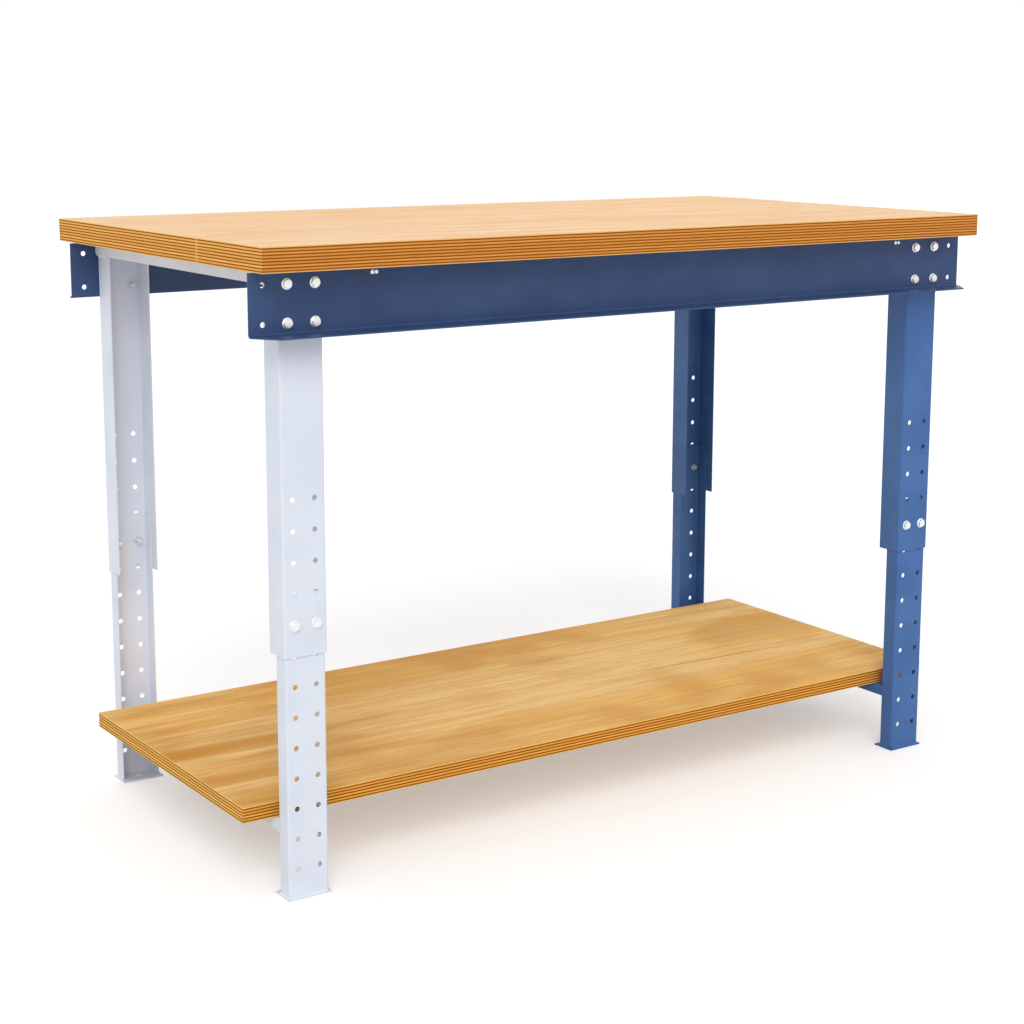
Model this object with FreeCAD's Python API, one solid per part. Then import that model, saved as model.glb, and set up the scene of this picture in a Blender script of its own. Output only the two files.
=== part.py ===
import FreeCAD, Part
import math
import os

# A height-adjustable assembly table. Two end frames carry a plywood worktop and a plywood shelf.
# Each end frame has a front and a rear leg, and each leg is a folded channel (the outer leg) that
# slides over a narrower one (the inner leg). Two bolts per leg lock the pair at one row of holes.
# Two folded angle beams join the frames under the worktop.
#
# Millimetres. X runs along the table, Y from front to rear, Z up.
# The origin is on the floor, under the middle of the worktop.

# ---- boards -------------------------------------------------------------------------------
TOP_LENGTH = 1500.0           # the beams and the shelf are as long
TOP_DEPTH = 800.0
TOP_THICKNESS = 40.0
TOP_HEIGHT = 1045.0           # upper face above the floor, at the highest setting
SHELF_THICKNESS = 27.0
SHELF_HEIGHT = 150.0          # upper face above the floor
SHELF_GAP = 5.0               # between a long edge of the shelf and the outer legs' flanges
BOARD_CHAMFER = 1.0

# ---- legs ---------------------------------------------------------------------------------
FRAME_DEPTH = 700.0           # over the webs of a front and a rear outer leg
LEG_SETBACK = 89.0            # from the end of the beams to the centre of a leg
LEG_SHEET = 2.0
LEG_BEND = 2.0                # inside radius of a fold
OUTER_LEG_WIDTH = 76.0
OUTER_LEG_DEPTH = 50.0
INNER_LEG_DEPTH = 30.0
SLIDE_CLEARANCE = 0.3         # between an inner and an outer leg, on each face
HOLE_DIAMETER = 9.0
HOLE_PITCH = 50.0             # from one row to the next
HOLE_COLUMNS = 38.0           # between the two columns
LOWEST_ROW = 50.0             # above the floor
INNER_ROWS = 9
OUTER_ROWS = 5
LEG_LAP = 51.0                # how far each leg runs on past the bolted row

# ---- foot plates --------------------------------------------------------------------------
FOOT_THICKNESS = 3.0
FOOT_DEPTH = 46.0
FOOT_SIDE_LIP = 3.0           # beyond the inner leg at each side
FOOT_OUTER_LIP = 4.3          # beyond the inner leg's web
ANCHOR_DIAMETER = 11.0
ANCHOR_SETBACK = 23.0         # from the outer edge of the plate

# ---- rails across the end frames ----------------------------------------------------------
BOTTOM_RAIL_WIDTH = 60.0
BOTTOM_RAIL_HEIGHT = 22.0
TOP_RAIL_HEIGHT = 25.0
TOP_RAIL_CLEARANCE = 0.2      # between the sides of the outer legs and where the rail's bends begin
TOP_RAIL_CORNER = 6.0         # cut off the lower corners of its sides
RAIL_SHEET = 2.0
RAIL_BEND = 2.0

# ---- beams along the table ----------------------------------------------------------------
BEAM_HEIGHT = 98.0
BEAM_SHELF = 50.0             # how far the lower flange stands out from the legs
BEAM_SHEET = 2.5
BEAM_BEND = 3.0
FLANGE_END_WIDTH = 10.0       # what the cut corners leave of the flange at its ends
FLANGE_CUT_LENGTH = 30.0
BEAM_BOLT_COLUMNS = 48.0
BEAM_BOLT_ROWS = 60.0
BEAM_HOLE_DIAMETER = 9.0
END_HOLE_DIAMETER = 9.0
END_HOLE_SETBACK = 24.0
SLOT_LENGTH = 16.0
SLOT_HEIGHT = 7.0
SLOT_DROP = 8.0               # from the beam's upper edge to the middle of a slot
NEAR_SLOT_SETBACK = 192.0     # the left end has two slots and the right end has one
FAR_SLOT_SETBACK = 217.0
RIGHT_SLOT_SETBACK = 162.0

# ---- M8 flanged bolts and their nuts -------------------------------------------------------
BOLT_DIAMETER = 8.0
BOLT_LENGTH = 16.0
BOLT_FLANGE_DIAMETER = 18.0
BOLT_FLANGE_THICKNESS = 1.5
BOLT_HEAD_HEIGHT = 5.5        # with its flange
HEX_WIDTH = 13.0              # across the flats
NUT_HEIGHT = 6.5
NUT_CLEARANCE = 0.1

# ---- clips that hold the worktop to the beams ----------------------------------------------
CLIP_WIDTH = 22.0
CLIP_HEIGHT = 20.0
CLIP_REACH = 30.0
CLIP_SHEET = 2.0
LUG_WIDTH = 7.0
LUG_GAP = 0.8
LUG_CLEARANCE = 0.3
LUG_PROUD = 1.3               # beyond the outer face of the beam

# ---- wood screws --------------------------------------------------------------------------
SCREW_HEAD_WIDTH = 10.0
SCREW_HEAD_HEIGHT = 3.5
SCREW_DIAMETER = 5.0
SCREW_CLEARANCE = 0.4         # in the hole through the sheet
SCREW_BITE = 20.0             # how deep a screw goes into a board
TOP_SCREW_SPACING = 440.0
SHELF_SCREW_SPACING = 300.0

# Small round shapes that repeat many times are prisms with few sides.
SMALL_SIDES = 8
HEX_SIDES = 6

THROUGH = 3                   # length of a cutting tool, in thicknesses of what it cuts
TURN = 1 - math.sqrt(0.5)     # inset of an arc's middle from its square corner, in radii

# ---- sizes that follow --------------------------------------------------------------------
BEAM_LENGTH = TOP_LENGTH
SHELF_LENGTH = TOP_LENGTH
LEG_X = BEAM_LENGTH / 2 - LEG_SETBACK
OUTER_WEB_Y = FRAME_DEPTH / 2
INNER_LEG_WIDTH = OUTER_LEG_WIDTH - 2 * (LEG_SHEET + SLIDE_CLEARANCE)
INNER_WEB_Y = OUTER_WEB_Y - LEG_SHEET - SLIDE_CLEARANCE
BOLTED_ROW = LOWEST_ROW + (INNER_ROWS - 1) * HOLE_PITCH
INNER_LEG_TOP = BOLTED_ROW + LEG_LAP
OUTER_LEG_BOTTOM = BOLTED_ROW - LEG_LAP
TOP_UNDERSIDE = TOP_HEIGHT - TOP_THICKNESS
FRAME_TOP = TOP_UNDERSIDE - RAIL_SHEET
BEAM_BOTTOM = FRAME_TOP - BEAM_HEIGHT
BEAM_BOLT_Z = BEAM_BOTTOM + BEAM_HEIGHT / 2
SLOT_Z = FRAME_TOP - SLOT_DROP
SHELF_DEPTH = FRAME_DEPTH - 2 * (OUTER_LEG_DEPTH + SHELF_GAP)
SHELF_UNDERSIDE = SHELF_HEIGHT - SHELF_THICKNESS

LEFT, RIGHT = -1, 1
FRONT, REAR = -1, 1
UP = FreeCAD.Vector(0, 0, 1)
DOWN = FreeCAD.Vector(0, 0, -1)
FORWARD = FreeCAD.Vector(0, -1, 0)


def vec(x, y, z):
    return FreeCAD.Vector(x, y, z)


def placed(shape, position, direction):
    """A copy of a shape made along +Z, turned to a direction and moved to a position."""
    copy = shape.copy()
    copy.Placement = FreeCAD.Placement(position, FreeCAD.Rotation(UP, direction))
    return copy


def to_rear(shape):
    """A front piece turned half round the table's upright centre line."""
    copy = shape.copy()
    copy.rotate(vec(0, 0, 0), UP, 180)
    return copy


def box(x0, x1, y0, y1, z0, z1):
    return Part.makeBox(x1 - x0, y1 - y0, z1 - z0, vec(x0, y0, z0))


def prism(corner_radius, length, sides):
    """A regular prism that stands on the origin."""
    corners = []
    for i in range(sides + 1):
        angle = 2 * math.pi * (i + 0.5) / sides
        corners.append(vec(corner_radius * math.cos(angle), corner_radius * math.sin(angle), 0))
    return Part.Face(Part.makePolygon(corners)).extrude(UP * length)


def rod(diameter, length, sides=SMALL_SIDES):
    """A prism that fits inside a circle."""
    return prism(diameter / 2, length, sides)


def drill(diameter, length, sides=SMALL_SIDES):
    """A prism that a circle fits inside, to cut a hole with."""
    return prism(diameter / 2 / math.cos(math.pi / sides), length, sides)


# ---- folded sheet -------------------------------------------------------------------------
def tray_face(half_width, low, high, radius):
    """A flat face with straight sides and two round corners at its lower edge."""
    turn = radius * TURN
    a = vec(-half_width, high, 0)
    b = vec(-half_width, low + radius, 0)
    bc = vec(-half_width + turn, low + turn, 0)
    c = vec(-half_width + radius, low, 0)
    d = vec(half_width - radius, low, 0)
    de = vec(half_width - turn, low + turn, 0)
    e = vec(half_width, low + radius, 0)
    f = vec(half_width, high, 0)
    edges = [
        Part.LineSegment(a, b).toShape(),
        Part.Arc(b, bc, c).toShape(),
        Part.LineSegment(c, d).toShape(),
        Part.Arc(d, de, e).toShape(),
        Part.LineSegment(e, f).toShape(),
        Part.LineSegment(f, a).toShape(),
    ]
    return Part.Face(Part.Wire(edges))


def channel(width, depth, sheet, bend, length):
    """A folded U channel along +Z: its web lies on the X axis and its flanges point to +Y."""
    outside = tray_face(width / 2, 0, depth, bend + sheet)
    inside = tray_face(width / 2 - sheet, sheet, depth + sheet, bend)
    return outside.cut(inside).extrude(UP * length)


def angle_bar(height, reach, sheet, bend, length):
    """A folded angle along +X, from its middle. Its web stands on y = 0 and its flange points to -Y."""
    outer = bend + sheet
    outer_turn = outer * TURN
    inner_turn = bend * TURN
    x = -length / 2
    heel = [vec(x, 0, outer), vec(x, -outer_turn, outer_turn), vec(x, -outer, 0)]
    toe = vec(x, -reach, 0)
    lip = vec(x, -reach, sheet)
    root = [
        vec(x, -sheet - bend, sheet),
        vec(x, -sheet - inner_turn, sheet + inner_turn),
        vec(x, -sheet, sheet + bend),
    ]
    rim = vec(x, -sheet, height)
    edge = vec(x, 0, height)
    edges = [
        Part.LineSegment(edge, heel[0]).toShape(),
        Part.Arc(*heel).toShape(),
        Part.LineSegment(heel[2], toe).toShape(),
        Part.LineSegment(toe, lip).toShape(),
        Part.LineSegment(lip, root[0]).toShape(),
        Part.Arc(*root).toShape(),
        Part.LineSegment(root[2], rim).toShape(),
        Part.LineSegment(rim, edge).toShape(),
    ]
    return Part.Face(Part.Wire(edges)).extrude(vec(length, 0, 0))


def web_holes(diameter, spacing, heights, sheet):
    """Tools for two columns of holes through a web that faces -Y."""
    tool = drill(diameter, THROUGH * sheet)
    return [
        placed(tool, vec(side * spacing / 2, 2 * sheet, z), FORWARD)
        for side in (LEFT, RIGHT)
        for z in heights
    ]


# ---- legs, at the origin, with their webs on y = 0 and facing -Y ---------------------------
def outer_leg():
    leg = channel(OUTER_LEG_WIDTH, OUTER_LEG_DEPTH, LEG_SHEET, LEG_BEND, FRAME_TOP - OUTER_LEG_BOTTOM)
    leg.translate(vec(0, 0, OUTER_LEG_BOTTOM))
    rows = [BOLTED_ROW + i * HOLE_PITCH for i in range(OUTER_ROWS)]
    holes = web_holes(HOLE_DIAMETER, HOLE_COLUMNS, rows, LEG_SHEET)
    holes += web_holes(BEAM_HOLE_DIAMETER, BEAM_BOLT_COLUMNS, beam_bolt_rows(), LEG_SHEET)
    return leg.cut(holes)


def inner_leg():
    leg = channel(INNER_LEG_WIDTH, INNER_LEG_DEPTH, LEG_SHEET, LEG_BEND, INNER_LEG_TOP - FOOT_THICKNESS)
    leg.translate(vec(0, 0, FOOT_THICKNESS))
    rows = [LOWEST_ROW + i * HOLE_PITCH for i in range(INNER_ROWS)]
    return leg.cut(web_holes(HOLE_DIAMETER, HOLE_COLUMNS, rows, LEG_SHEET))


def foot_plate():
    """One plate under an inner leg, whose web lies on y = 0."""
    half = INNER_LEG_WIDTH / 2 + FOOT_SIDE_LIP
    plate = box(-half, half, -FOOT_OUTER_LIP, FOOT_DEPTH - FOOT_OUTER_LIP, 0, FOOT_THICKNESS)
    anchor = vec(0, ANCHOR_SETBACK - FOOT_OUTER_LIP, -FOOT_THICKNESS)
    return plate.cut(Part.makeCylinder(ANCHOR_DIAMETER / 2, THROUGH * FOOT_THICKNESS, anchor))


def four_corners(shape, web_y):
    """A front piece at the four legs: {(side name, end name): shape}."""
    out = {}
    for side, side_name in ((LEFT, "left"), (RIGHT, "right")):
        front = shape.copy()
        front.translate(vec(side * LEG_X, -web_y, 0))
        rear = to_rear(shape)
        rear.translate(vec(side * LEG_X, web_y, 0))
        out[side_name, "front"] = front
        out[side_name, "rear"] = rear
    return out


# ---- rails ----------------------------------------------------------------------------------
def rail(width, height, half_length):
    """An inverted U channel along Y. Its web lies on z = 0, on the upper side."""
    shape = channel(width, height, RAIL_SHEET, RAIL_BEND, 2 * half_length)
    shape.rotate(vec(0, 0, 0), vec(1, 0, 0), -90)
    shape.translate(vec(0, -half_length, 0))
    return shape


def screw_places(spacing):
    return (-spacing / 2, spacing / 2)


def rail_with_holes(width, height, half_length, spacing):
    shape = rail(width, height, half_length)
    tool = drill(SCREW_DIAMETER + SCREW_CLEARANCE, THROUGH * RAIL_SHEET, HEX_SIDES)
    return shape.cut([placed(tool, vec(0, y, -2 * RAIL_SHEET), UP) for y in screw_places(spacing)])


def rail_corner_cuts(width, height, half_length, cut):
    """Wedges that cut the lower corners of a rail's sides, at both of its ends."""
    tools = []
    for end in (FRONT, REAR):
        y = end * half_length
        corners = [
            vec(-width, y, -height),
            vec(-width, y - end * cut, -height),
            vec(-width, y, -height + cut),
        ]
        face = Part.Face(Part.makePolygon(corners + corners[:1]))
        tools.append(face.extrude(vec(2 * width, 0, 0)))
    return tools


def top_rail(side):
    width = OUTER_LEG_WIDTH + 2 * (TOP_RAIL_CLEARANCE + RAIL_BEND + RAIL_SHEET)
    shape = rail_with_holes(width, TOP_RAIL_HEIGHT, OUTER_WEB_Y, TOP_SCREW_SPACING)
    shape = shape.cut(rail_corner_cuts(width, TOP_RAIL_HEIGHT, OUTER_WEB_Y, TOP_RAIL_CORNER))
    tongue_reach = OUTER_WEB_Y + BEAM_SHEET
    tongue_half = width / 2 - RAIL_SHEET - RAIL_BEND
    tongue = box(-tongue_half, tongue_half, -tongue_reach, tongue_reach, -RAIL_SHEET, 0)
    middle = box(-tongue_half, tongue_half, -OUTER_WEB_Y, OUTER_WEB_Y, -RAIL_SHEET, 0)
    shape = shape.fuse(tongue.cut(middle)).removeSplitter()
    shape.translate(vec(side * LEG_X, 0, TOP_UNDERSIDE))
    return shape


def bottom_rail(side):
    half_length = INNER_WEB_Y - LEG_SHEET
    shape = rail_with_holes(BOTTOM_RAIL_WIDTH, BOTTOM_RAIL_HEIGHT, half_length, SHELF_SCREW_SPACING)
    shape.translate(vec(side * LEG_X, 0, SHELF_UNDERSIDE))
    return shape


# ---- beams ----------------------------------------------------------------------------------
def beam_bolt_rows():
    return (BEAM_BOLT_Z - BEAM_BOLT_ROWS / 2, BEAM_BOLT_Z + BEAM_BOLT_ROWS / 2)


def clip_places():
    """The slots of the front beam that hold a clip."""
    return (-BEAM_LENGTH / 2 + FAR_SLOT_SETBACK, BEAM_LENGTH / 2 - RIGHT_SLOT_SETBACK)


def slot_places():
    return clip_places() + (-BEAM_LENGTH / 2 + NEAR_SLOT_SETBACK,)


def slot_tool(x):
    straight = (SLOT_LENGTH - SLOT_HEIGHT) / 2
    half_height = SLOT_HEIGHT / 2
    depth = THROUGH * BEAM_SHEET
    front = -OUTER_WEB_Y - 2 * BEAM_SHEET
    back = front + depth
    bar = box(x - straight, x + straight, front, back, SLOT_Z - half_height, SLOT_Z + half_height)
    round_end = drill(SLOT_HEIGHT, depth)
    ends = [placed(round_end, vec(x + side * straight, back, SLOT_Z), FORWARD) for side in (LEFT, RIGHT)]
    return bar.fuse(ends).removeSplitter()


def flange_cuts():
    """Wedges that cut the two free corners of the flange."""
    tools = []
    for side in (LEFT, RIGHT):
        end = side * BEAM_LENGTH / 2
        corners = [
            vec(end, -OUTER_WEB_Y - FLANGE_END_WIDTH, 0),
            vec(end - side * FLANGE_CUT_LENGTH, -OUTER_WEB_Y - BEAM_SHELF, 0),
            vec(end, -OUTER_WEB_Y - BEAM_SHELF, 0),
        ]
        face = Part.Face(Part.makePolygon(corners + corners[:1]))
        face.translate(vec(0, 0, BEAM_BOTTOM - BEAM_SHEET))
        tools.append(face.extrude(UP * THROUGH * BEAM_SHEET))
    return tools


def front_beam():
    beam = angle_bar(BEAM_HEIGHT, BEAM_SHELF, BEAM_SHEET, BEAM_BEND, BEAM_LENGTH)
    beam.translate(vec(0, -OUTER_WEB_Y, BEAM_BOTTOM))
    tools = flange_cuts() + [slot_tool(x) for x in slot_places()]
    end_hole = Part.makeCylinder(END_HOLE_DIAMETER / 2, THROUGH * BEAM_SHEET, vec(0, 0, 0), FORWARD)
    inside = -OUTER_WEB_Y + BEAM_SHEET
    for side in (LEFT, RIGHT):
        for hole in web_holes(BEAM_HOLE_DIAMETER, BEAM_BOLT_COLUMNS, beam_bolt_rows(), BEAM_SHEET):
            hole.translate(vec(side * LEG_X, -OUTER_WEB_Y - BEAM_SHEET, 0))
            tools.append(hole)
        for z in beam_bolt_rows():
            hole = end_hole.copy()
            hole.translate(vec(side * (BEAM_LENGTH / 2 - END_HOLE_SETBACK), inside, z))
            tools.append(hole)
    return beam.cut(tools)


# ---- boards ---------------------------------------------------------------------------------
def board(length, depth, thickness, upper_face):
    shape = box(-length / 2, length / 2, -depth / 2, depth / 2, upper_face - thickness, upper_face)
    return shape.makeChamfer(BOARD_CHAMFER, shape.Edges)


def pilot_holes(places, underside):
    tool = prism(SCREW_DIAMETER / 2, 2 * SCREW_BITE, HEX_SIDES)
    return [placed(tool, vec(x, y, underside - SCREW_BITE), UP) for x, y in places]


def top_screw_places():
    return [(side * LEG_X, y) for side in (LEFT, RIGHT) for y in screw_places(TOP_SCREW_SPACING)]


def shelf_screw_places():
    return [(side * LEG_X, y) for side in (LEFT, RIGHT) for y in screw_places(SHELF_SCREW_SPACING)]


def clip_screw_y():
    """Middle of the free part of a front clip's tab."""
    return -OUTER_WEB_Y + (CLIP_SHEET + CLIP_REACH) / 2


def clip_screw_places():
    y = clip_screw_y()
    front = [(x, y) for x in clip_places()]
    return front + [(-x, -y) for x, y in front]


def worktop():
    shape = board(TOP_LENGTH, TOP_DEPTH, TOP_THICKNESS, TOP_HEIGHT)
    return shape.cut(pilot_holes(top_screw_places() + clip_screw_places(), TOP_UNDERSIDE))


def shelf():
    shape = board(SHELF_LENGTH, SHELF_DEPTH, SHELF_THICKNESS, SHELF_HEIGHT)
    return shape.cut(pilot_holes(shelf_screw_places(), SHELF_UNDERSIDE))


# ---- fasteners ------------------------------------------------------------------------------
def hex_corner_radius():
    return HEX_WIDTH / 2 / math.cos(math.pi / HEX_SIDES)


def bolt():
    """Head on +Z, shank on -Z, seat on z = 0."""
    flange = rod(BOLT_FLANGE_DIAMETER, BOLT_FLANGE_THICKNESS)
    head = prism(hex_corner_radius(), BOLT_HEAD_HEIGHT, HEX_SIDES)
    shank = rod(BOLT_DIAMETER, BOLT_LENGTH, HEX_SIDES)
    shank.translate(DOWN * BOLT_LENGTH)
    return flange.fuse([head, shank]).removeSplitter()


def nut():
    """Stands on z = 0."""
    body = prism(hex_corner_radius(), NUT_HEIGHT, HEX_SIDES)
    bore = drill(BOLT_DIAMETER + NUT_CLEARANCE, THROUGH * NUT_HEIGHT, HEX_SIDES)
    bore.translate(DOWN * NUT_HEIGHT)
    return body.cut(bore)


def wood_screw(bite):
    """Head below z = 0, shank on +Z through one sheet and into a board."""
    head = prism(SCREW_HEAD_WIDTH / 2, SCREW_HEAD_HEIGHT, HEX_SIDES)
    head.translate(DOWN * SCREW_HEAD_HEIGHT)
    return head.fuse(prism(SCREW_DIAMETER / 2, bite, HEX_SIDES)).removeSplitter()


def screws(places, sheet, underside):
    screw = wood_screw(sheet + SCREW_BITE)
    return Part.makeCompound([placed(screw, vec(x, y, underside - sheet), UP) for x, y in places])


def leg_grid(spacing, rows, depth):
    """Places on the legs: (x, y, z) on both the front and the rear legs, at a depth from the middle."""
    return [
        vec(side * LEG_X + column * spacing / 2, end * depth, z)
        for side in (LEFT, RIGHT)
        for end in (FRONT, REAR)
        for column in (LEFT, RIGHT)
        for z in rows
    ]


def outward(place):
    return vec(0, math.copysign(1, place.y), 0)


def bolts(spacing, rows, seat_depth):
    one = bolt()
    return Part.makeCompound([placed(one, p, outward(p)) for p in leg_grid(spacing, rows, seat_depth)])


def nuts(spacing, rows, seat_depth):
    one = nut()
    return Part.makeCompound([placed(one, p, -outward(p)) for p in leg_grid(spacing, rows, seat_depth)])


# ---- worktop clips --------------------------------------------------------------------------
def clip(x):
    """An angle behind the front beam, with two lugs that reach out through a slot."""
    half = CLIP_WIDTH / 2
    back = -OUTER_WEB_Y
    upright = box(x - half, x + half, back, back + CLIP_SHEET, TOP_UNDERSIDE - CLIP_HEIGHT, TOP_UNDERSIDE)
    tab = box(x - half, x + half, back, back + CLIP_REACH, TOP_UNDERSIDE - CLIP_SHEET, TOP_UNDERSIDE)
    lug_half_height = SLOT_HEIGHT / 2 - LUG_CLEARANCE
    front = back - BEAM_SHEET - LUG_PROUD
    lugs = []
    for side in (LEFT, RIGHT):
        lug_x = x + side * (LUG_WIDTH + LUG_GAP) / 2
        lug = rod(2 * lug_half_height, back - front, HEX_SIDES)
        lugs.append(placed(lug, vec(lug_x, back, SLOT_Z), FORWARD))
    hole = drill(SCREW_DIAMETER + SCREW_CLEARANCE, THROUGH * CLIP_SHEET, HEX_SIDES)
    hole = placed(hole, vec(x, clip_screw_y(), TOP_UNDERSIDE - 2 * CLIP_SHEET), UP)
    return upright.fuse([tab] + lugs).removeSplitter().cut(hole)


def clips():
    front = [clip(x) for x in clip_places()]
    return Part.makeCompound(front + [to_rear(c) for c in front])


# ---- all pieces -----------------------------------------------------------------------------
def build():
    nodes = {}
    for (side, end), shape in four_corners(outer_leg(), OUTER_WEB_Y).items():
        nodes[f"{side}_{end}_outer_leg"] = shape
    for (side, end), shape in four_corners(inner_leg(), INNER_WEB_Y).items():
        nodes[f"{side}_{end}_inner_leg"] = shape
    for (side, end), shape in four_corners(foot_plate(), INNER_WEB_Y).items():
        nodes[f"{side}_{end}_foot_plate"] = shape
    for side, name in ((LEFT, "left"), (RIGHT, "right")):
        nodes[f"{name}_top_rail"] = top_rail(side)
        nodes[f"{name}_bottom_rail"] = bottom_rail(side)
    nodes["front_beam"] = front_beam()
    nodes["rear_beam"] = to_rear(nodes["front_beam"])
    nodes["worktop"] = worktop()
    nodes["lower_shelf"] = shelf()
    beam_seat = OUTER_WEB_Y + BEAM_SHEET
    nodes["beam_bolts"] = bolts(BEAM_BOLT_COLUMNS, beam_bolt_rows(), beam_seat)
    nodes["beam_nuts"] = nuts(BEAM_BOLT_COLUMNS, beam_bolt_rows(), OUTER_WEB_Y - LEG_SHEET)
    nodes["height_bolts"] = bolts(HOLE_COLUMNS, (BOLTED_ROW,), OUTER_WEB_Y)
    nodes["height_nuts"] = nuts(HOLE_COLUMNS, (BOLTED_ROW,), INNER_WEB_Y - LEG_SHEET)
    nodes["worktop_clips"] = clips()
    nodes["clip_screws"] = screws(clip_screw_places(), CLIP_SHEET, TOP_UNDERSIDE)
    nodes["worktop_screws"] = screws(top_screw_places(), RAIL_SHEET, TOP_UNDERSIDE)
    nodes["shelf_screws"] = screws(shelf_screw_places(), RAIL_SHEET, SHELF_UNDERSIDE)
    return nodes


def main():
    os.makedirs("parts", exist_ok=True)
    for name, shape in build().items():
        if not shape.isValid():
            raise ValueError(f"{name} isn't a valid shape")
        shape.exportStep(f"parts/{name}.step")
        print(f"{name}: {len(shape.Solids)} solids, {shape.Volume / 1000:.1f} cm3")


main()
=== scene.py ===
import math

import bmesh
import bpy
from mathutils import Matrix, Vector


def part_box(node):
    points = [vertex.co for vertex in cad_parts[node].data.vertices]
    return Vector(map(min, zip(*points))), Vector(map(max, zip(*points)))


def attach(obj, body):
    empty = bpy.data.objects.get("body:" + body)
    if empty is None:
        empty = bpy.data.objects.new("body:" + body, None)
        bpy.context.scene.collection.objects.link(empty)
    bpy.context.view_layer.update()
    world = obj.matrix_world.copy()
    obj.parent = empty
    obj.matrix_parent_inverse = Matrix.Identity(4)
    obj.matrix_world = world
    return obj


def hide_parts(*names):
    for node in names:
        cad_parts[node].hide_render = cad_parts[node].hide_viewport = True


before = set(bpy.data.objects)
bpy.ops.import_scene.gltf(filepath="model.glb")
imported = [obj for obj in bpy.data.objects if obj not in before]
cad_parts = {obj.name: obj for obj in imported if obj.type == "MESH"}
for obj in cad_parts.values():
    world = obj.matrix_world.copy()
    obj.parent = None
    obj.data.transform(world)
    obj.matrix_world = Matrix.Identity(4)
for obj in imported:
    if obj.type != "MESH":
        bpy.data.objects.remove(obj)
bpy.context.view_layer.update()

# A height-adjustable assembly table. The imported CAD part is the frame. Each of its nodes is shown by
# a finer mesh in the same place: round holes, soft sheet edges, threads, welds and eased boards.
# Metres. X runs along the table, Y from front to rear, Z up.

MM = 0.001
LEFT, RIGHT = -1, 1
FRONT, REAR = -1, 1
SIDES = {"left": LEFT, "right": RIGHT}
ENDS = {"front": FRONT, "rear": REAR}

# ---- sizes that the frame gives ------------------------------------------------------------
LEG_LOW, LEG_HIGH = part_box("right_front_outer_leg")
INNER_LOW, INNER_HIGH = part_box("right_front_inner_leg")
PLATE_LOW, PLATE_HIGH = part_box("right_front_foot_plate")
BEAM_LOW, BEAM_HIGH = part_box("front_beam")
TOP_LOW, TOP_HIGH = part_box("worktop")
SHELF_LOW, SHELF_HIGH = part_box("lower_shelf")
CAP_LOW, CAP_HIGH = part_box("right_top_rail")
RAIL_LOW, RAIL_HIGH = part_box("right_bottom_rail")
LEG_X = (LEG_LOW.x + LEG_HIGH.x) / 2
OUTER_WEB_Y = -LEG_LOW.y
INNER_WEB_Y = -INNER_LOW.y
BEAM_LENGTH = BEAM_HIGH.x - BEAM_LOW.x

# ---- how the meshes are made ---------------------------------------------------------------
BEND_STEPS = 5
HOLE_SIDES = 32
EDGE_ANGLE = math.radians(40)
PAST = 1 * MM                 # how far a cutter runs past a face that it cuts
MERGED = 0.004 * MM           # points nearer than this are made one

# ---- sheet metal ---------------------------------------------------------------------------
LEG_SHEET = 2 * MM
BEAM_SHEET = 2.5 * MM
CLIP_SHEET = 2 * MM
LEG_BEND = 2 * MM
BEAM_BEND = 3 * MM
CLIP_BEND = 1.2 * MM
CUT_EDGE = 0.25 * MM          # how far the paint rounds a cut edge
PLATE_EDGE = 0.4 * MM

# ---- holes ---------------------------------------------------------------------------------
HOLE_RADIUS = 4.5 * MM
HOLE_PITCH = 50 * MM
HOLE_COLUMNS = 38 * MM
LOWEST_ROW = 50 * MM
BOLTED_ROW = 450 * MM
INNER_ROWS = 9
OUTER_ROWS = 5
BEAM_BOLT_COLUMNS = 48 * MM
BEAM_BOLT_SETBACK = 19 * MM
BEAM_BOLT_ROWS = (BEAM_LOW.z + BEAM_BOLT_SETBACK, BEAM_HIGH.z - BEAM_BOLT_SETBACK)
END_HOLE_SETBACK = 24 * MM
ANCHOR_RADIUS = 5.5 * MM
ANCHOR_SETBACK = 23 * MM
SCREW_HOLE_RADIUS = 2.7 * MM
SLOT_RADIUS = 3.5 * MM
SLOT_HALF = 8 * MM
SLOT_SETBACK = 8 * MM
SLOT_Z = BEAM_HIGH.z - SLOT_SETBACK
NEAR_SLOT_SETBACK = 192 * MM
FAR_SLOT_SETBACK = 217 * MM
RIGHT_SLOT_SETBACK = 162 * MM
FLANGE_END_WIDTH = 10 * MM
FLANGE_CUT_LENGTH = 30 * MM
CAP_CORNER = 6 * MM

# ---- bolts and nuts ------------------------------------------------------------------------
THREAD_RADIUS = 4 * MM
THREAD_PITCH = 1.25 * MM
THREAD_DEPTH = 0.65 * MM
THREAD_SIDES = 24
THREAD_STEPS = 4              # rings in each turn of a thread
THREAD_TIP = 1.6 * MM         # length of the lead-in
TIP_RADIUS = THREAD_RADIUS - THREAD_DEPTH - 0.3 * MM
TIP_SLOPE = 0.6
SHANK_SUNK = 0.3 * MM         # how far a shank reaches into its head
BOLT_LENGTH = 16 * MM
FLANGE_RADIUS = 9 * MM
FLANGE_RIM = 0.95 * MM        # height of the flange at its rim
FLANGE_HEIGHT = 1.5 * MM      # height of the flange at the hexagon
FLANGE_SLOPE = 2.2 * MM
FLANGE_EASE = 0.25 * MM
FLANGE_SEAT_EASE = 0.2 * MM
HEAD_START = 0.5 * MM         # the hexagon begins inside the flange
HEAD_HEIGHT = 5.5 * MM
HEX_WIDTH = 13 * MM
HEX_RADIUS = HEX_WIDTH / 2 / math.cos(math.pi / 6)
HEX_FLAT = 0.96 * HEX_WIDTH / 2
HEX_SLOPE = math.radians(28)
NUT_HEIGHT = 6.5 * MM
NUT_CLEARANCE = 0.05 * MM
NUT_LEAD = 0.6 * MM

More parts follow.
